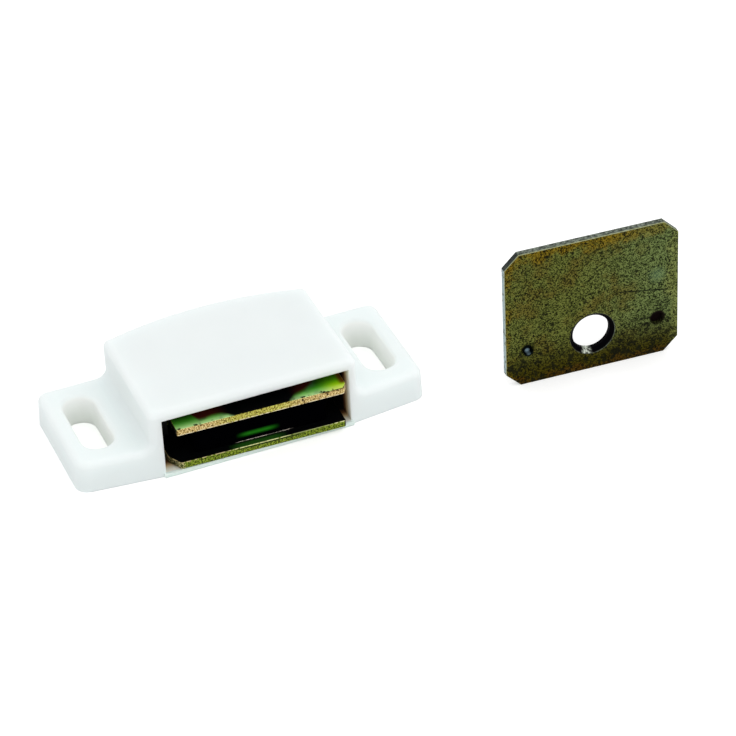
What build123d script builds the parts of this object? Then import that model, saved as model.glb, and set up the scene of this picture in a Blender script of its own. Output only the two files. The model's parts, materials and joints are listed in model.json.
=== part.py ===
from build123d import *
from math import cos, radians, sin, tan
import os

# Magnetic catch for a cupboard door: a moulded housing with a floating magnet pack, and its strike plate.
# Millimetres. The origin is in the mounting face, midway between the two screw slots. X runs along the
# housing, the mouth looks along -Y, +Z points off the mounting face.

# Pole plates and magnet
plate_width = 23.2
plate_depth = 16.0
plate_thickness = 1.0
upper_plate_clip = (0.5, 0.9)
lower_plate_clip = (1.15, 2.0)
plate_corner_radius = 0.3
plate_edge_radius = 0.12
lower_plate_extra_width = 0.4
lower_plate_slip = 0.65
notch_depth = 2.4
notch_length = 3.2
magnet_width = 18.0
magnet_thickness = 4.3
magnet_front_recess = 1.2
magnet_back_recess = 0.8
magnet_corner_chamfer = 0.4

# How the pack floats: its play in the housing, and where it rests
pack_side_play = 1.15
pack_floor_clearance = 0.05
pack_rib_clearance = 0.12
pack_back_gap = 1.5
pack_headroom = 1.7
pole_proud = 0.25
pack_side_shift = 1.0
pack_rest_angle = -1.8
pack_float_angle = 2.0

# Housing
side_wall = 1.45
back_wall = 1.8
cavity_shift = 0.2
mouth_edge_radius = 0.12
floor_thickness = 0.6
roof_thickness = 1.35
back_bow = 1.85
lip_proud = 0.4
lip_end_overlap = 0.3
retaining_rib_length = 2.0
retaining_rib_gap = 0.2
roof_rib_width = 1.2
roof_rib_spacing = 14.0
roof_rib_setback = 4.5
ear_length = 9.8
ear_thickness = 4.4
ear_draft = 2.5
ear_front_sweep = 1.2
ear_front_corner_radius = 1.8
ear_back_corner_radius = 1.4
outer_edge_radius = 0.9
crease_inset = 1.0
crease_radius = 2.0
root_fillet_radius = 1.4

# Screw slots
slot_width = 4.2
slot_length = 11.6
slot_spacing = 39.0
slot_setback = 10.2
slot_edge_radius = 0.6

# Strike plate
strike_width = 24.2
strike_height = 20.6
strike_thickness = 1.1
strike_corner_clip = 2.0
strike_edge_radius = 0.15
screw_hole_radius = 2.6
screw_head_radius = 3.2
screw_head_angle = 100.0
screw_hole_height = 5.6
dimple_spacing = 18.2
dimple_radius = 0.95
dimple_depth = 0.6
spur_height = 0.9
spur_taper = 32.0

# Where the strike plate meets the poles, and the door's swing that carries it there
strike_air_gap = 0.15
swing_axis_x = 23.71
swing_axis_inset = 0.085
swing_open_angle = 176.5

# Pack, worked out
stack_height = magnet_thickness + 2 * plate_thickness
lip_y = -slot_setback
pack_centre_y = lip_y - pole_proud + plate_depth / 2
pack_bottom_z = floor_thickness + pack_floor_clearance
pack_plane = Plane(
    origin=(pack_side_shift, pack_centre_y, pack_bottom_z),
    x_dir=(cos(radians(pack_rest_angle)), sin(radians(pack_rest_angle)), 0),
    z_dir=(0, 0, 1),
)
magnet_depth = plate_depth - magnet_front_recess - magnet_back_recess

# Housing, worked out
cavity_width = plate_width + 2 * pack_side_play
cavity_height = pack_floor_clearance + stack_height + pack_headroom
roof_underside_z = floor_thickness + cavity_height
body_length = cavity_width + 2 * side_wall
body_height = roof_underside_z + roof_thickness
frame_y = lip_y + lip_proud
cavity_back_y = pack_centre_y + plate_depth / 2 + pack_back_gap
ear_back_y = cavity_back_y + back_wall
housing_reach = ear_back_y + back_bow + slot_setback
crease_x = body_length / 2 - crease_inset
ear_tip_x = body_length / 2 + ear_length
notch_bottom_x = plate_width / 2 - notch_depth + pack_side_shift - cavity_shift
retaining_rib_tip_x = notch_bottom_x + retaining_rib_gap
stack_top_z = pack_bottom_z + stack_height

# Strike plate, worked out: its face as it stands against the poles, swung open about the door's axis
pole_reach = pole_proud + plate_width / 2 * sin(radians(pack_float_angle))
closed_face_y = lip_y - pole_reach - strike_air_gap
closed_face = Plane(
    origin=(pack_side_shift - swing_axis_x, -swing_axis_inset, strike_height / 2),
    x_dir=(-1, 0, 0),
    z_dir=(0, 1, 0),
)
swing_axis = (swing_axis_x, closed_face_y + swing_axis_inset, 0)
strike_face = Plane(Location(swing_axis, (0, 0, 1), swing_open_angle) * closed_face.location)
strike_back = strike_face.offset(-strike_thickness)
feature_v = screw_hole_height - strike_height / 2

os.makedirs("parts", exist_ok=True)

# Housing: one moulding
with BuildPart() as housing:
    # Front view of ears and body, with drafted ends and hollow fillets where the body stands on the ears
    with BuildSketch(Plane.XZ.offset(-housing_reach)) as front_profile:
        with BuildLine():
            ear_top_x = ear_tip_x - ear_thickness * tan(radians(ear_draft))
            Polyline(
                (-ear_tip_x, 0),
                (-ear_top_x, ear_thickness),
                (-body_length / 2, ear_thickness),
                (-body_length / 2, body_height),
                (body_length / 2, body_height),
                (body_length / 2, ear_thickness),
                (ear_top_x, ear_thickness),
                (ear_tip_x, 0),
                close=True,
            )
        make_face()
        roots = front_profile.vertices().filter_by_position(Axis.X, -body_length / 2, body_length / 2)
        fillet(roots.group_by(Axis.Y)[0], root_fillet_radius)
    extrude(amount=2 * housing_reach)

    # Plan: the ears' front faces sweep back to the tips, and the body's back bows out between the ears.
    # Both turn off just inside the body's ends, over a soft crease.
    with BuildSketch() as plan_outline:
        with BuildLine():
            Polyline(
                (-crease_x, ear_back_y),
                (-ear_tip_x, ear_back_y),
                (-ear_tip_x, frame_y + ear_front_sweep),
                (-crease_x, frame_y),
                (crease_x, frame_y),
                (ear_tip_x, frame_y + ear_front_sweep),
                (ear_tip_x, ear_back_y),
                (crease_x, ear_back_y),
            )
            ThreePointArc((-crease_x, ear_back_y), (0, ear_back_y + back_bow), (crease_x, ear_back_y))
        make_face()
        creases = plan_outline.vertices().filter_by_position(Axis.X, -body_length / 2, body_length / 2)
        fillet(creases, crease_radius)
    extrude(amount=body_height, mode=Mode.INTERSECT)
    for end, radius in ((0, ear_front_corner_radius), (-1, ear_back_corner_radius)):
        ear_tips = housing.faces().sort_by(Axis.X)
        tip_edges = ear_tips[0].edges() + ear_tips[-1].edges()
        upright_edges = tip_edges.filter_by(lambda edge: abs(edge.tangent_at(0).Z) > 0.5)
        fillet(upright_edges.group_by(Axis.Y)[end], radius)

    # Every outer edge above the mounting face is rounded, but not the seams of the hollow fillets
    root_reach = body_length / 2 + root_fillet_radius
    seams = housing.edges().filter_by(Axis.Y).filter_by_position(Axis.X, -root_reach, root_reach)
    seams = seams.filter_by_position(Axis.Z, ear_thickness, ear_thickness + root_fillet_radius)
    upper_edges = housing.edges().filter_by(lambda edge: edge.bounding_box().min.Z > ear_thickness / 2)
    fillet(upper_edges - seams, outer_edge_radius)

    # Cavity for the pack, open at the mouth
    cavity_left_x = cavity_shift - cavity_width / 2
    cavity_right_x = cavity_shift + cavity_width / 2
    with BuildSketch() as cavity_plan:
        with BuildLine():
            mouth = Line((cavity_left_x, frame_y), (cavity_right_x, frame_y))
            left = Line(mouth @ 0, (cavity_left_x, cavity_back_y))
            right = Line(mouth @ 1, (cavity_right_x, cavity_back_y))
            ThreePointArc(left @ 1, (cavity_shift, cavity_back_y + back_bow), right @ 1)
        make_face()
    extrude(amount=roof_underside_z, mode=Mode.SUBTRACT)
    mouth_rim = housing.edges().filter_by_position(Axis.Y, frame_y, frame_y)
    mouth_rim = mouth_rim.filter_by_position(Axis.X, cavity_left_x, cavity_right_x)
    fillet(mouth_rim.filter_by_position(Axis.Z, ear_thickness / 2, roof_underside_z), mouth_edge_radius)

    # Floor, with a lip that stands proud below the mouth
    lip_depth = lip_proud + mouth_edge_radius
    with BuildSketch():
        add(cavity_plan.sketch)
        with Locations((cavity_shift, lip_y + lip_depth / 2)):
            Rectangle(cavity_width + 2 * lip_end_overlap, lip_depth)
    extrude(amount=floor_thickness)

    # Retaining ribs that stand in the pole plates' notches
    with BuildSketch(Plane.XY.offset(floor_thickness)):
        with Locations((cavity_shift, pack_centre_y)):
            with GridLocations(cavity_width / 2 + retaining_rib_tip_x, 0, 2, 1):
                Rectangle(cavity_width / 2 - retaining_rib_tip_x, retaining_rib_length)
    extrude(amount=cavity_height)

    # Ribs under the roof that hold the pack down
    with BuildSketch(Plane.XY.offset(stack_top_z + pack_rib_clearance)):
        roof_rib_front_y = lip_y + roof_rib_setback
        roof_rib_length = cavity_back_y - roof_rib_front_y
        with Locations((0, roof_rib_front_y + roof_rib_length / 2)):
            with GridLocations(roof_rib_spacing, 0, 2, 1):
                Rectangle(roof_rib_width, roof_rib_length)
    extrude(amount=roof_underside_z - stack_top_z - pack_rib_clearance)

    # Screw slots
    with BuildSketch():
        with GridLocations(slot_spacing, 0, 2, 1):
            SlotOverall(slot_length, slot_width, rotation=90)
    extrude(amount=ear_thickness, mode=Mode.SUBTRACT)
    slot_reach = (slot_spacing + slot_width) / 2
    slot_rims = housing.edges().filter_by_position(Axis.Z, ear_thickness, ear_thickness)
    slot_rims = slot_rims.filter_by_position(Axis.Y, -slot_length / 2, slot_length / 2)
    fillet(slot_rims.filter_by_position(Axis.X, -slot_reach, slot_reach), slot_edge_radius)
housing.part.label = "housing"
export_step(housing.part, "parts/housing.step")

# Pole plates: two pressings, below and above the magnet, notched at both ends. Each has one front corner
# clipped: the lower plate its left one, the upper plate its right one.
for label, width, slip, plate_bottom, clipped_side, (clip_x, clip_y) in (
    ("lower_pole_plate", plate_width + lower_plate_extra_width, lower_plate_slip, 0, -1, lower_plate_clip),
    ("upper_pole_plate", plate_width, 0, plate_thickness + magnet_thickness, 1, upper_plate_clip),
):
    plate_plane = Plane(pack_plane.location * Location((-slip, 0, plate_bottom)))
    with BuildPart() as pole_plate:
        with BuildSketch(plate_plane) as plate_plan:
            with BuildLine():
                side_x = clipped_side * width / 2
                Polyline(
                    (-side_x, -plate_depth / 2),
                    (side_x - clipped_side * clip_x, -plate_depth / 2),
                    (side_x, clip_y - plate_depth / 2),
                    (side_x, plate_depth / 2),
                    (-side_x, plate_depth / 2),
                    close=True,
                )
            make_face()
            fillet(plate_plan.vertices(), plate_corner_radius)
            with GridLocations(width - notch_depth, 0, 2, 1):
                Rectangle(notch_depth, notch_length, mode=Mode.SUBTRACT)
        extrude(amount=plate_thickness)
        fillet(pole_plate.faces().filter_by(Plane.XY).edges(), plate_edge_radius)
    pole_plate.part.label = label
    export_step(pole_plate.part, f"parts/{label}.step")

# Magnet: a ferrite block, set back from the plates' front edges
with BuildPart() as magnet:
    with BuildSketch(pack_plane.offset(plate_thickness)) as magnet_plan:
        with Locations((0, (magnet_front_recess - magnet_back_recess) / 2)):
            Rectangle(magnet_width, magnet_depth)
        chamfer(magnet_plan.vertices(), magnet_corner_chamfer)
    extrude(amount=magnet_thickness)
magnet.part.label = "magnet"
export_step(magnet.part, "parts/magnet.step")

# Strike plate: clipped corners, a countersunk screw hole near one long edge, and on the hole's line two
# dimples whose metal stands out of the back as spurs that keep the plate from turning on the door
with BuildPart() as strike_plate:
    with BuildSketch(strike_face) as strike_outline:
        Rectangle(strike_width, strike_height)
        chamfer(strike_outline.vertices(), strike_corner_clip)
    extrude(amount=-strike_thickness)
    fillet(strike_plate.faces().filter_by(strike_face).edges(), strike_edge_radius)
    with Locations(strike_face.location * Location((0, feature_v, 0))):
        CounterSinkHole(screw_hole_radius, screw_head_radius, counter_sink_angle=screw_head_angle)
    with BuildSketch(strike_face):
        with Locations((0, feature_v)):
            with GridLocations(dimple_spacing, 0, 2, 1):
                Circle(dimple_radius)
    extrude(amount=-dimple_depth, mode=Mode.SUBTRACT)
    with BuildSketch(strike_back):
        with Locations((0, feature_v)):
            with GridLocations(dimple_spacing, 0, 2, 1):
                Circle(dimple_radius)
    extrude(amount=-spur_height, taper=spur_taper)
strike_plate.part.label = "strike_plate"
export_step(strike_plate.part, "parts/strike_plate.step")
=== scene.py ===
"""The looks of a magnetic catch: white housing, plated pole plates, ferrite magnet and strike plate."""
import json
from math import atan2, cos, radians, sin

import bpy
from mathutils import Matrix, Vector


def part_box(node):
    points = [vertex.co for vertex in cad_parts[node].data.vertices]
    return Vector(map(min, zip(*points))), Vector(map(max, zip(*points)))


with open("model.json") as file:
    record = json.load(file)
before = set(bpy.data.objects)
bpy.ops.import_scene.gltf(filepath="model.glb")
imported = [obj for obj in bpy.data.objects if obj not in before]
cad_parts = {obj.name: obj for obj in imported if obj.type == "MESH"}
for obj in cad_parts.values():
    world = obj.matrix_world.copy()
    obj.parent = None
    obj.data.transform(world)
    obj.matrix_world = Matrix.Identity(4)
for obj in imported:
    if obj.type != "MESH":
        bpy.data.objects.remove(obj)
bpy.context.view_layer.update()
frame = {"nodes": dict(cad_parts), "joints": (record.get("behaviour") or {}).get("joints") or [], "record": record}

MM = 0.001
mounts = {mount["name"]: mount for mount in frame["record"]["mounts"]}
joints = {joint["name"]: joint for joint in frame["joints"]}

# Camera: the photograph's viewing angle and framing
CAMERA_AZIMUTH = -20.47
CAMERA_ELEVATION = 36.31
CAMERA_ROLL = -3.07
CAMERA_DISTANCE = 450.08 * MM
CAMERA_TARGET = Vector((15.5, -10.2, 8.5)) * MM
CAMERA_LENS = 171.2
CAMERA_CLIP_START = 0.01

# Light, in metres and watts, at a level at which a colour renders about as it is written
WORLD_STRENGTH = 0.93
LAMP_SIZE = 0.5
KEY_PLACE = (0.06, -0.15, 0.62)
KEY_ENERGY = 0.44
FILL_PLACE = (0.45, -0.2, 0.35)
FILL_ENERGY = 0.42
FLOOR_SIZE = 8
FLOOR_COLOUR = (0.8, 0.8, 0.8, 1)
FLOOR_LIFT = 0.4
WHITE = (1, 1, 1, 1)

# Housing, in millimetres
LIP_PROUD = 0.4
CAVITY_SHIFT = 0.2
CAVITY_HALF_WIDTH = 12.85
CAVITY_FLOOR = 0.5
CAVITY_ROOF = 8.8
CAVITY_DARK_DEPTH = 4.0
SLOT_REACH_X = 2.7
SLOT_REACH_Y = 6.4
SLOT_TOP = 4.4

# Magnet pack, in millimetres along from its middle, in from its front edge and up from its underside
PLATE_DEPTH = 16.0
UPPER_PLATE_BOTTOM = 5.3
GREEN_DEPTH = 3.6
WANDER_DEPTH = 0.8
NICK_START = (8.15, 0.1)
NICK_END = (8.12, 0.5)
NICK_WIDTH = 0.14
DOT_PLACE = (5.77, 0.2)
DOT_RADIUS = 0.14

# The surface settings that both pole plates share
PLATE_GLOSS = {"Metallic": 0.25, "Roughness": 0.4, "Specular_IOR_Level": 0.1}

# Strike plate, in millimetres across and up from its middle; a stain is its place and its radius
STRIKE_HALF_WIDTH = 12.1
HOLE_RIM = 3.2
GLINT_SHIFT = (-0.8, -2.85)
GLINT_RADIUS = 0.6
DIMPLE_OFFSET = 9.1
DIMPLE_REACH = 1.1
LEFT_DARK_RADIUS = 0.72
GLEAM_RADIUS = 0.28
SCRATCH_WIDTH = 0.14
LONG_SCRATCH = ((3.75, 0.89), (10.6, -0.36))
SHORT_SCRATCH = ((7.1, 2.74), (8.2, 3.24))
LOW_STAIN = ((4.2, -7.4), 1.6)
RIGHT_STAIN = ((9.6, -2.6), 0.9)
HOLE_STAIN = ((7.0, -5.0), 1.8)
PALE_PATCH = (9.1, 2.3)
FLECK_RADIUS = 0.15
FLECKS_RIGHT = ((9.3, 3.75), (11.0, -1.33), (10.85, 4.13))
FLECKS_BY_HOLE = ((2.8, -1.8), (4.45, -2.0), (4.0, -1.0), (6.4, -2.8))


class Shader:
    """Builds up the nodes of a material or of the world."""

    def __init__(self, owner):
        owner.use_nodes = True
        self.owner = owner
        self.tree = owner.node_tree
        self.surface = self.tree.nodes.get("Principled BSDF")

    def node(self, kind, inputs=(), **settings):
        """Adds a node, sets its properties and then feeds its inputs."""
        node = self.tree.nodes.new(kind)
        for key, value in settings.items():
            setattr(node, key, value)
        for key, value in dict(inputs).items():
            self.feed(node.inputs[key], value)
        return node

    def feed(self, socket, value):
        """Links a socket to another node's output, or sets it to a constant."""
        if isinstance(value, bpy.types.NodeSocket):
            self.tree.links.new(value, socket)
        else:
            socket.default_value = value

    def place(self, origin=(0, 0, 0), yaw=0.0):
        """Millimetres in a frame that stands at origin, in metres, turned by yaw about Z."""
        coordinates = self.node("ShaderNodeTexCoord")
        return self.node(
            "ShaderNodeMapping",
            {
                "Vector": coordinates.outputs["Object"],
                "Location": origin,
                "Rotation": (0, 0, yaw),
                "Scale": (MM, MM, MM),
            },
            vector_type="TEXTURE",
        ).outputs[0]

    def axes(self, vector):
        return self.node("ShaderNodeSeparateXYZ", {0: vector}).outputs[:]

    def normals(self):
        """The surface normal's parts along the part's axes."""
        return self.axes(self.node("ShaderNodeTexCoord").outputs["Normal"])

    def math(self, operation, a, b=0.0):
        return self.node("ShaderNodeMath", {0: a, 1: b}, operation=operation).outputs[0]

    def chain(self, operation, first, others):
        for other in others:
            first = self.math(operation, first, other)
        return first

    def product(self, first, *others):
        return self.chain("MULTIPLY", first, others)

    def total(self, first, *others):
        return self.chain("ADD", first, others)

    def greatest(self, first, *others):
        return self.chain("MAXIMUM", first, others)

    def minus(self, a, b):
        return self.math("SUBTRACT", a, b)

    def absolute(self, value):
        return self.math("ABSOLUTE", value)

    def step(self, value, low, high, out_low=0.0, out_high=1.0):
        """Goes smoothly from out_low at low to out_high at high."""
        node = self.node("ShaderNodeMapRange", interpolation_type="SMOOTHSTEP")
        for socket, number in zip(node.inputs, (value, low, high, out_low, out_high)):
            self.feed(socket, number)
        return node.outputs[0]

    def within(self, value, low, high, soft):
        """1 where value lies between low and high, with soft ends."""
        rise = self.step(value, low - soft, low + soft)
        return self.product(rise, self.step(value, high - soft, high + soft, 1, 0))

    def from_point(self, across, up, point):
        """Distance from a point in the plane of two coordinates."""
        sides = [self.minus(value, at) for value, at in zip((across, up), point)]
        squares = [self.product(side, side) for side in sides]
        return self.math("SQRT", self.total(*squares))

    def spot(self, across, up, point, radius, soft):
        """1 inside a circle in the plane of two coordinates, with a soft rim."""
        return self.step(self.from_point(across, up, point), radius - soft, radius + soft, 1, 0)

    def line(self, across, up, start, end, width):
        """1 on a straight line between two points in the plane of two coordinates."""
        along = Vector(end) - Vector(start)
        length = along.length
        along.normalize()
        run = self.minus(across, start[0])
        rise = self.minus(up, start[1])
        u = self.total(self.product(run, along.x), self.product(rise, along.y))
        v = self.minus(self.product(rise, along.x), self.product(run, along.y))
        full_within = 0.3 * width
        on_line = self.step(self.absolute(v), full_within, width, 1, 0)
        return self.product(on_line, self.within(u, 0, length, width))

    def noise(self, vector, scale, detail, roughness=0.5):
        return self.node(
            "ShaderNodeTexNoise",
            {"Vector": vector, "Scale": scale, "Detail": detail, "Roughness": roughness},
        ).outputs[0]

    def grains(self, vector, scale):
        """A random value for every grain, grains being 1 / scale across."""
        cells = self.node("ShaderNodeTexVoronoi", {"Vector": vector, "Scale": scale})
        return self.node("ShaderNodeSeparateColor", {0: cells.outputs["Color"]}).outputs[0]

    def mix(self, factor, a, b, blend="MIX"):
        """Colour a where factor is 0, and colour b, or a blended with b, where it is 1."""
        node = self.node("ShaderNodeMix", data_type="RGBA", blend_type=blend)
        for socket, value in zip((node.inputs[0], node.inputs[6], node.inputs[7]), (factor, a, b)):
            self.feed(socket, value)
        return node.outputs[2]

    def ramp(self, factor, *stops):
        """Runs through the colours of stops, each a position from 0 to 1 and a colour."""
        node = self.node("ShaderNodeValToRGB", {0: factor})
        elements = node.color_ramp.elements
        while len(elements) < len(stops):
            elements.new(0.5)
        for element, (position, colour) in zip(elements, stops):
            element.position = position
            element.color = colour
        return node.outputs[0]

    def bump(self, height, strength, distance):
        return self.node(
            "ShaderNodeBump", {"Strength": strength, "Distance": distance * MM, "Height": height}
        ).outputs[0]

    def set(self, **values):
        """Sets or links inputs of the Principled surface, named with _ for each space."""
        for key, value in values.items():
            self.feed(self.surface.inputs[key.replace("_", " ")], value)


def rgb(red, green, blue):
    """An sRGB colour of 0 to 255 as the linear colour that a socket takes."""
    def linear(value):
        value /= 255
        return value / 12.92 if value <= 0.04045 else ((value + 0.055) / 1.055) ** 2.4
    return (linear(red), linear(green), linear(blue), 1)


def new_material(name):
    return Shader(bpy.data.materials.new(name))


def dress(node, material):
    """Gives a CAD node its material."""
    mesh = frame["nodes"][node].data
    mesh.materials.clear()
    mesh.materials.append(material)


def make_camera():
    azimuth, elevation, roll = (radians(a) for a in (CAMERA_AZIMUTH, CAMERA_ELEVATION, CAMERA_ROLL))
    backwards = Vector((sin(azimuth) * cos(elevation), -cos(azimuth) * cos(elevation), sin(elevation)))
    right = Vector((0, 0, 1)).cross(backwards).normalized()
    up = backwards.cross(right)
    turned_right = cos(roll) * right + sin(roll) * up
    turned_up = cos(roll) * up - sin(roll) * right
    data = bpy.data.cameras.new("camera")
    data.lens = CAMERA_LENS
    data.clip_start = CAMERA_CLIP_START
    camera = bpy.data.objects.new("camera", data)
    rotation = Matrix((turned_right, turned_up, backwards)).transposed().to_4x4()
    camera.matrix_world = Matrix.Translation(CAMERA_TARGET + CAMERA_DISTANCE * backwards) @ rotation
    bpy.context.scene.collection.objects.link(camera)
    bpy.context.scene.camera = camera


def seen_directly(shader):
    """1 where the camera, a reflection or a refraction looks, 0 for the light that falls on things."""
    path = shader.node("ShaderNodeLightPath").outputs
    return shader.greatest(path["Is Camera Ray"], path["Is Glossy Ray"], path["Is Transmission Ray"])


def make_world():
    world = bpy.data.worlds.new("studio")
    bpy.context.scene.world = world
    shader = Shader(world)
    background = shader.tree.nodes["Background"]
    background.inputs["Color"].default_value = WHITE
    strength = shader.step(seen_directly(shader), 0, 1, WORLD_STRENGTH, 1)
    shader.feed(background.inputs["Strength"], strength)


def make_lamp(name, place, energy):
    """A square lamp that shines at the origin."""
    data = bpy.data.lights.new(name, "AREA")
    data.size = LAMP_SIZE
    data.energy = energy
    lamp = bpy.data.objects.new(name, data)
    place = Vector(place)
    lamp.matrix_world = Matrix.Translation(place) @ place.to_track_quat("Z", "Y").to_matrix().to_4x4()
    bpy.context.scene.collection.objects.link(lamp)


def make_floor():
    bpy.ops.mesh.primitive_plane_add(size=FLOOR_SIZE)
    floor = bpy.context.object
    floor.name = "floor"
    shader = new_material("floor_white")
    shader.set(Base_Color=FLOOR_COLOUR, Roughness=1.0, Specular_IOR_Level=0)
    lift = shader.node("ShaderNodeEmission", {"Color": WHITE})
    shader.feed(lift.inputs["Strength"], shader.product(seen_directly(shader), FLOOR_LIFT))
    both = shader.node("ShaderNodeAddShader", {0: shader.surface.outputs[0], 1: lift.outputs[0]})
    shader.feed(shader.tree.nodes["Material Output"].inputs["Surface"], both.outputs[0])
    floor.data.materials.append(shader.owner)


def white_plastic():
    """Soft translucent white, painted lighter in the slots and on the lip, and the cavity behind the mouth sinking
    into the dark as painted shade.
    """
    low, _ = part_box("housing")
    slot_x = mounts["slot_right"]["pos_m"][0] / MM
    shader = new_material("white_plastic")
    place = shader.place((CAVITY_SHIFT * MM, low.y + LIP_PROUD * MM, 0))
    across, depth, up = shader.axes(place)
    x, y, _ = shader.axes(shader.place())

    outside = shader.mix(shader.noise(place, 0.12, 2), rgb(232, 240, 240), rgb(236, 243, 242))
    in_slot = shader.product(
        shader.within(shader.absolute(x), slot_x - SLOT_REACH_X, slot_x + SLOT_REACH_X, 0.1),
        shader.step(shader.absolute(y), SLOT_REACH_Y, SLOT_REACH_Y + 0.2, 1, 0),
        shader.step(up, SLOT_TOP - 0.6, SLOT_TOP, 1, 0),
    )
    # Painted light: the slot walls are painted lighter than the outside, against the shade inside the slots.
    slot_wall_painted_light = shader.mix(shader.step(up, 0, SLOT_TOP), rgb(248, 255, 246), rgb(250, 255, 250))
    outside = shader.mix(in_slot, outside, slot_wall_painted_light)
    # Painted light: the lip in front of the mouth is painted lighter and greener, against the shade under the
    # lower plate.
    outside = shader.mix(shader.step(depth, -0.1, 0, 1, 0), outside, rgb(231, 248, 240))

    # Painted shade: the cavity walls go from white through tan and brown to black with depth, the tan and brown a
    # painted reflection of the plates.
    cavity_painted_shade = shader.ramp(
        shader.step(depth, 0, CAVITY_DARK_DEPTH),
        (0.05, rgb(240, 240, 228)),
        (0.25, rgb(220, 195, 150)),
        (0.5, rgb(120, 78, 44)),
        (0.8, rgb(4, 3, 4)),
    )
    in_cavity = shader.product(
        shader.step(shader.absolute(across), CAVITY_HALF_WIDTH, CAVITY_HALF_WIDTH + 0.1, 1, 0),
        shader.within(up, CAVITY_FLOOR, CAVITY_ROOF, 0.05),
        shader.step(depth, 0, 0.1),
        shader.step(shader.normals()[1], 0.2, 0.5, 1, 0),
    )
    colour = shader.mix(in_cavity, outside, cavity_painted_shade)
    grain = shader.noise(place, 9, 2)
    shader.set(Base_Color=colour, Roughness=0.6, Normal=shader.bump(grain, 0.08, 0.02))

    deep_inside = shader.product(in_cavity, shader.step(depth, 0.2, 1.4))
    translucency = shader.step(deep_inside, 0, 1, 0.8, 0)
    thickness = shader.step(up, 0.5, 3.5, 0.3 * MM, 2.1 * MM)
    softness = shader.product(thickness, shader.step(in_slot, 0, 1, 1, 2))
    shader.set(Subsurface_Weight=translucency, Subsurface_Scale=softness, Subsurface_Radius=(1, 1, 1))
    shader.set(Specular_IOR_Level=0.3)
    return shader.owner


def pack_place(shader):
    """Millimetres in the magnet pack's frame, then those along it, in from its front edge and up."""
    pivot = joints["pack_float"]
    yaw = -radians(sum(pivot["range_deg"]) / 2)
    place = shader.place(pivot["pos_m"], yaw)
    along, y, up = shader.axes(place)
    return place, along, shader.total(y, PLATE_DEPTH / 2), up


def cut_edge(shader, place, dark, middle, pale):
    """Sheared metal, speckled with dark pits."""
    grain = shader.noise(place, 4.5, 2, 0.6)
    sheared = shader.ramp(grain, (0.38, dark), (0.48, middle), (0.6, pale))
    pits = shader.step(shader.noise(place, 2.1, 2, 0.6), 0.63, 0.68)
    return shader.mix(pits, sheared, rgb(58, 38, 20))


def upper_plate_top(shader, place, along, depth):
    """Green at the front of both ends, lime at the right end, and dark red to black elsewhere: the plating's
    iridescent tints under painted light and shade.
    """
    off_middle = shader.absolute(along)
    wander = shader.noise(place, 0.5, 2)
    inward = shader.step(depth, 0, GREEN_DEPTH)
    # The green and the lime are palest at the front edge as a painted highlight and darken inward as painted shade
    # under the roof.
    green = shader.ramp(
        inward,
        (0.0, rgb(195, 240, 160)),
        (0.12, rgb(140, 220, 110)),
        (0.35, rgb(80, 180, 48)),
        (0.8, rgb(30, 90, 12)),
    )
    lime = shader.ramp(
        inward,
        (0.0, rgb(225, 245, 110)),
        (0.2, rgb(185, 240, 30)),
        (0.5, rgb(130, 215, 10)),
        (0.95, rgb(70, 150, 10)),
    )
    green = shader.mix(shader.step(along, 7.5, 10.5), green, lime)
    greyer_patches = shader.product(shader.step(wander, 0.45, 0.6), shader.step(off_middle, 8, 9, 0.35, 0))
    green = shader.mix(greyer_patches, green, rgb(95, 120, 95))

    # How far in the green reaches: nowhere in the middle, and furthest at the two ends
    reach = shader.total(
        shader.step(off_middle, 3.0, 5.2, -0.5, 1.1),
        shader.step(along, 5.0, 9.6, 0, 3.2),
        shader.step(along, -8.0, -9.8, 0, 3.0),
    )
    wandering = shader.total(depth, shader.product(shader.minus(wander, 0.5), WANDER_DEPTH))
    beyond = shader.step(shader.minus(wandering, reach), -0.6, 0.5)
    # The black in the middle is painted shade and a painted dark reflection of the cavity.
    red = shader.mix(shader.step(off_middle, 4.0, 6.5), rgb(3, 4, 6), rgb(78, 26, 20))
    return shader.mix(beyond, green, red)


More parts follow.
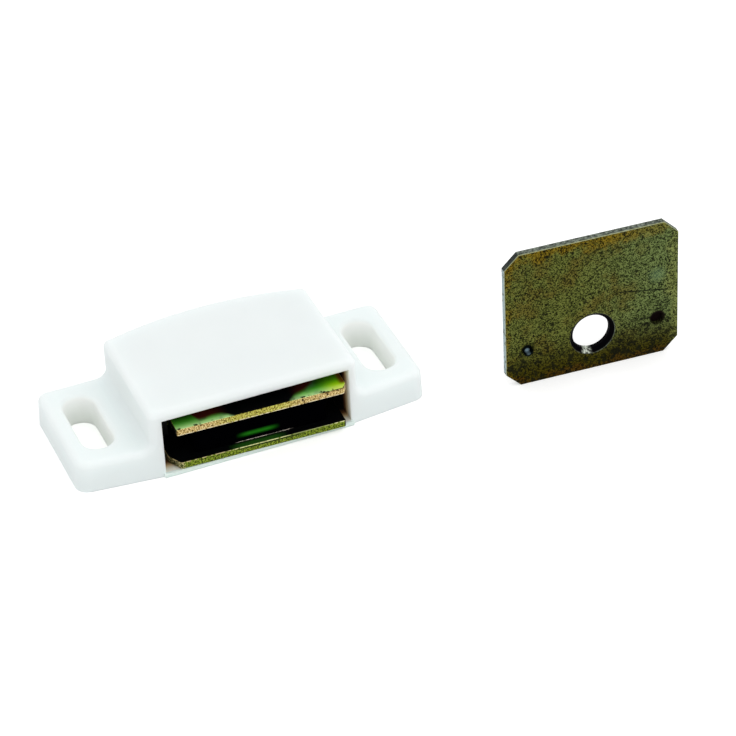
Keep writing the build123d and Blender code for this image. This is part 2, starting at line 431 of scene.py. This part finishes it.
def upper_pole_steel():
    """Plating with an iridescent top under painted light and shade, and a yellow sheared edge with a painted
    highlight on the burr along its bottom.
    """
    shader = new_material("upper_pole_steel")
    place, along, depth, up = pack_place(shader)
    normal = shader.normals()

    edge = cut_edge(shader, place, rgb(74, 54, 16), rgb(186, 154, 84), rgb(232, 212, 152))
    yellower = shader.mix(shader.within(along, -5.5, 4, 2), edge, rgb(225, 255, 160), "MULTIPLY")
    edge = shader.mix(0.8, edge, yellower)
    ragged = shader.step(shader.noise(place, 2.5, 2), 0.4, 0.5)
    # Painted highlight: a pale line along the burr at the bottom of the sheared edge.
    burr = shader.step(up, UPPER_PLATE_BOTTOM + 0.12, UPPER_PLATE_BOTTOM + 0.22, 1, 0)
    edge = shader.mix(shader.product(burr, ragged), edge, rgb(240, 228, 190))
    # Painted shade on the plate's left end face.
    edge = shader.mix(shader.step(normal[0], -0.5, -0.9), edge, rgb(12, 14, 8))

    faces_up = shader.step(normal[2], 0.75, 0.95)
    colour = shader.mix(faces_up, edge, upper_plate_top(shader, place, along, depth))
    rust = shader.product(shader.step(along, 10.6, 11.3), shader.step(depth, 0.6, 1.4), faces_up)
    colour = shader.mix(rust, colour, rgb(120, 80, 22))

    # The arris at the right end is a painted dark reflection on the rounded top of the sheared edge.
    arris = shader.product(
        shader.within(along, 8.1, 11.4, 0.05), shader.within(normal[2], 0.3, 0.9, 0.1)
    )
    nick = shader.product(shader.line(along, depth, NICK_START, NICK_END, NICK_WIDTH), faces_up)
    dot = shader.product(shader.spot(along, depth, DOT_PLACE, DOT_RADIUS, 0.04), faces_up)
    specks = shader.product(
        shader.step(shader.noise(place, 1.7, 1), 0.56, 0.6),
        shader.step(depth, 0.25, 0.4, 1, 0),
        faces_up,
    )
    for dark in (arris, nick, dot, specks):
        colour = shader.mix(dark, colour, rgb(20, 18, 8))
    shader.set(Base_Color=colour, **PLATE_GLOSS)
    return shader.owner


def lower_pole_steel():
    """Olive front edge under a painted highlight on its arris, and a top in painted shade, black but for a painted
    green sheen.
    """
    shader = new_material("lower_pole_steel")
    place, along, depth, up = pack_place(shader)
    normal = shader.normals()

    # The top is painted shade, black, with a painted green sheen near the front edge.
    sheen = shader.product(shader.within(along, -4, 2.5, 1.0), shader.step(depth, 0.6, 1.2, 1, 0))
    top = shader.mix(sheen, rgb(4, 5, 7), rgb(34, 84, 22))

    edge = cut_edge(shader, place, rgb(26, 32, 0), rgb(86, 106, 10), rgb(146, 166, 54))
    # Painted light: the clipped left end is painted paler tan where light falls on it.
    painted_light_tan = cut_edge(shader, place, rgb(10, 12, 4), rgb(105, 110, 50), rgb(225, 205, 165))
    edge = shader.mix(shader.product(shader.step(along, -10.6, -11.2), 0.8), edge, painted_light_tan)
    left_tip = shader.product(shader.step(along, -11.3, -11.9), 0.6)
    edge = shader.mix(left_tip, edge, rgb(14, 16, 4))
    groove = shader.product(shader.within(along, -3.5, 5, 1), shader.within(up, 0.68, 0.86, 0.04))
    edge = shader.mix(groove, edge, rgb(30, 44, 10))

    # Painted highlight along the arris at the top of the front edge, dimmer between 3 and 9 mm.
    arris = shader.mix(shader.step(along, -5, -3), rgb(195, 180, 130), rgb(225, 225, 165))
    arris = shader.mix(shader.product(shader.within(along, 3, 9, 1), 0.7), arris, rgb(90, 110, 40))
    ragged = shader.step(shader.noise(place, 2.5, 2), 0.42, 0.5)
    colour = shader.mix(shader.product(shader.step(normal[2], 0.2, 0.4), ragged), edge, arris)
    # Painted shade on the plate's right end face.
    colour = shader.mix(shader.step(normal[0], 0.2, 0.4), colour, rgb(10, 10, 6))
    colour = shader.mix(shader.step(normal[2], 0.85, 0.97), colour, top)
    shader.set(Base_Color=colour, **PLATE_GLOSS)
    return shader.owner


def ferrite():
    """Black, with a painted green reflection and one painted highlight line on the front face."""
    shader = new_material("ferrite")
    place, along, depth, up = pack_place(shader)
    black = shader.mix(shader.noise(place, 5, 3), rgb(0, 0, 1), rgb(2, 2, 4))
    gleam = shader.product(
        shader.within(along, -2.6, 1.7, 1.0),
        shader.within(up, 1.8, 2.25, 0.3),
        shader.step(depth, 1.3, 1.5, 1, 0),
    )
    colour = shader.mix(gleam, black, rgb(34, 122, 24))
    ragged = shader.step(shader.noise(place, 3, 2), 0.4, 0.55, 0.25, 1)
    # Painted highlight: one bright line along the bottom of the front face.
    line = shader.product(shader.within(along, -3.4, 4.0, 0.4), shader.step(up, 1.04, 1.1, 1, 0), ragged)
    colour = shader.mix(line, colour, rgb(250, 240, 222))
    shader.set(Base_Color=colour, Roughness=0.9, Specular_IOR_Level=0.0)
    return shader.owner


def strike_plating(shader, place, across, up, half_height, speckle):
    """Olive, mottled and speckled, browner towards the bottom and along the edges."""
    patches = shader.noise(place, 0.28, 4, 0.6)
    green = shader.mix(shader.step(across, -4, 11), rgb(82, 87, 42), rgb(86, 98, 60))
    browner = shader.product(shader.step(patches, 0.45, 0.65), shader.step(across, 2, 10, 0.7, 0.15))
    colour = shader.mix(browner, green, rgb(80, 70, 28))
    colour = shader.mix(shader.step(up, -3, -9.0, 0, 0.95), colour, rgb(50, 44, 2))

    ragged = shader.step(patches, 0.3, 0.7, 1.0, -1.0)
    golden = rgb(104, 84, 14)
    for from_edge, strength, tint in (
        (shader.minus(half_height, up), shader.step(across, 2, 9, 0.8, 0.4), golden),
        (shader.total(STRIKE_HALF_WIDTH + 0.5, across), 0.6, golden),
        (shader.minus(STRIKE_HALF_WIDTH, across), 0.5, rgb(106, 110, 62)),
        (shader.total(half_height, up), 0.6, rgb(66, 42, 10)),
    ):
        band = shader.step(shader.total(from_edge, ragged), 0.3, 1.9, 1, 0)
        colour = shader.mix(shader.product(band, strength), colour, tint)

    fine_noise = shader.noise(place, 4.4, 2, 0.6)
    speckles = shader.ramp(
        shader.total(shader.product(speckle, 0.8), shader.product(fine_noise, 0.65)),
        (0.38, rgb(8, 14, 0)),
        (0.6, rgb(138, 142, 124)),
        (0.8, rgb(216, 218, 206)),
        (1.0, rgb(255, 255, 250)),
    )
    brighter = (1.9, 1.9, 1.8, 1)
    colour = shader.mix(1.0, shader.mix(1.0, colour, brighter, "MULTIPLY"), speckles, "MULTIPLY")
    soot = shader.total(shader.noise(place, 1.4, 2, 0.6), shader.step(up, -4, -9, 0, 0.09))
    return shader.mix(shader.step(soot, 0.62, 0.68, 0, 0.85), colour, rgb(20, 22, 10))


def strike_wear(shader, place, across, up, in_front, colour):
    """Scratches and stains on the front, dark flecks and one pale patch."""
    dirt = shader.noise(place, 1.8, 3, 0.7)
    scratches = shader.greatest(
        shader.line(across, up, *LONG_SCRATCH, SCRATCH_WIDTH),
        shader.line(across, up, *SHORT_SCRATCH, SCRATCH_WIDTH),
    )
    scratches = shader.product(scratches, in_front, shader.step(dirt, 0.3, 0.45))
    colour = shader.mix(scratches, colour, rgb(12, 18, 8))
    for point, radius in (LOW_STAIN, RIGHT_STAIN, HOLE_STAIN):
        stain = shader.spot(across, up, point, radius, radius)
        stain = shader.product(stain, in_front, shader.step(dirt, 0.45, 0.6))
        colour = shader.mix(stain, colour, rgb(14, 14, 8))
    for point in FLECKS_RIGHT + FLECKS_BY_HOLE:
        fleck = shader.spot(across, up, point, FLECK_RADIUS, 0.05)
        colour = shader.mix(fleck, colour, rgb(10, 14, 4))
    pale = shader.spot(across, up, PALE_PATCH, 0.9, 0.9)
    return shader.mix(shader.product(pale, 0.35), colour, rgb(105, 135, 100))


def strike_edge(shader, place, normal):
    """Sheared metal, paler at the left end and dark on the upper left clipped corner."""
    grain = shader.noise(place, 2.4, 4, 0.75)
    sheared = shader.ramp(
        grain, (0.36, rgb(34, 40, 34)), (0.48, rgb(84, 90, 82)), (0.62, rgb(136, 145, 132))
    )
    pits = shader.step(shader.noise(place, 1.6, 2), 0.55, 0.6, 0.75, 0)
    left_end = shader.product(shader.step(normal[0], -0.6, -0.9), pits)
    sheared = shader.mix(left_end, sheared, rgb(180, 198, 206))
    clipped = shader.product(shader.step(normal[0], -0.4, -0.6), shader.step(normal[2], 0.4, 0.6))
    return shader.mix(shader.product(clipped, 0.8), sheared, rgb(16, 18, 12))


def strike_steel():
    """Olive plating with its wear, the screw hole and dimples dark with painted shade and painted glints, and the
    sheared edge.
    """
    back = mounts["strike_back"]
    yaw = atan2(-back["axis"][0], back["axis"][1])
    low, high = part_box("strike_plate")
    middle_z = (low.z + high.z) / 2
    half_height = (high.z - low.z) / 2 / MM
    hole_height = (mounts["strike_screw_hole"]["pos_m"][2] - middle_z) / MM
    shader = new_material("strike_steel")
    place = shader.place(Vector((back["pos_m"][0], back["pos_m"][1], middle_z)), yaw)
    across, out, up = shader.axes(place)
    normal = shader.normals()
    in_front = shader.step(out, -0.4, -0.3, 1, 0)
    speckle = shader.grains(place, 7.5)

    colour = strike_plating(shader, place, across, up, half_height, speckle)
    colour = strike_wear(shader, place, across, up, in_front, colour)

    from_hole = shader.from_point(across, up, (0, hole_height))
    in_hole = shader.step(from_hole, HOLE_RIM - 0.1, HOLE_RIM, 1, 0)
    glint_place = (GLINT_SHIFT[0], hole_height + GLINT_SHIFT[1])
    glint = shader.spot(across, up, glint_place, GLINT_RADIUS, 0.3)
    glint = shader.product(glint, shader.step(shader.noise(place, 3.5, 2, 0.6), 0.4, 0.56, 0.1, 0.85))
    # Painted shade: the hole's wall is black, with a painted glint at its bottom.
    colour = shader.mix(in_hole, colour, shader.mix(glint, rgb(2, 1, 3), rgb(222, 230, 214)))

    # The dimples' darkness lies off their middles, where the photograph shows it
    left_dark = (-DIMPLE_OFFSET + 0.14, hole_height - 0.5)
    right_dark = (DIMPLE_OFFSET + 0.08, hole_height + 0.15)
    # Painted shade fills the dimples, and the left one holds a painted highlight, the gleam.
    dimples = shader.total(
        shader.spot(across, up, left_dark, LEFT_DARK_RADIUS, 0.12),
        shader.spot(across, up, right_dark, DIMPLE_REACH, 0.2),
    )
    dimples = shader.product(dimples, in_front)
    dimple_shade_colour = shader.mix(shader.step(across, -5, 5), rgb(2, 8, 8), rgb(14, 6, 6))
    colour = shader.mix(dimples, colour, dimple_shade_colour)
    gleam_place = (-DIMPLE_OFFSET + 0.14, hole_height - 0.65)
    gleam = shader.product(shader.spot(across, up, gleam_place, GLEAM_RADIUS, 0.15), in_front)
    colour = shader.mix(gleam, colour, rgb(130, 155, 168))

    # Walls take the sheared edge's look, but not in the hole and the dimples, and less on the spurs
    facing = shader.absolute(normal[1])
    faces_out = shader.step(facing, 0.6, 0.9)
    sunk = shader.spot(shader.absolute(across), up, (DIMPLE_OFFSET, hole_height), DIMPLE_REACH, 0.05)
    on_spur = shader.step(out, 0.02, 0.1, 0, 0.6)
    not_edge = shader.greatest(faces_out, in_hole, shader.product(sunk, in_front), on_spur)
    colour = shader.mix(not_edge, strike_edge(shader, place, normal), colour)
    # Painted highlight: a pale line on the rounded front rim.
    on_rim = shader.within(facing, 0.1, 0.65, 0.05)
    off_hole = shader.step(from_hole, HOLE_RIM, HOLE_RIM + 0.2)
    rim = shader.product(on_rim, in_front, off_hole, 0.85)
    colour = shader.mix(rim, colour, rgb(170, 175, 130))

    metallic = shader.step(shader.greatest(in_hole, dimples), 0, 1, 0.3, 0)
    shader.set(Base_Color=colour, Metallic=metallic, Roughness=0.6, Normal=shader.bump(speckle, 0.25, 0.03))
    shader.set(Specular_IOR_Level=0.02)
    return shader.owner


bpy.context.scene.view_settings.view_transform = "Standard"
make_camera()
make_world()
make_floor()
make_lamp("key", KEY_PLACE, KEY_ENERGY)
make_lamp("fill", FILL_PLACE, FILL_ENERGY)
dress("housing", white_plastic())
dress("lower_pole_plate", lower_pole_steel())
dress("upper_pole_plate", upper_pole_steel())
dress("magnet", ferrite())
dress("strike_plate", strike_steel())
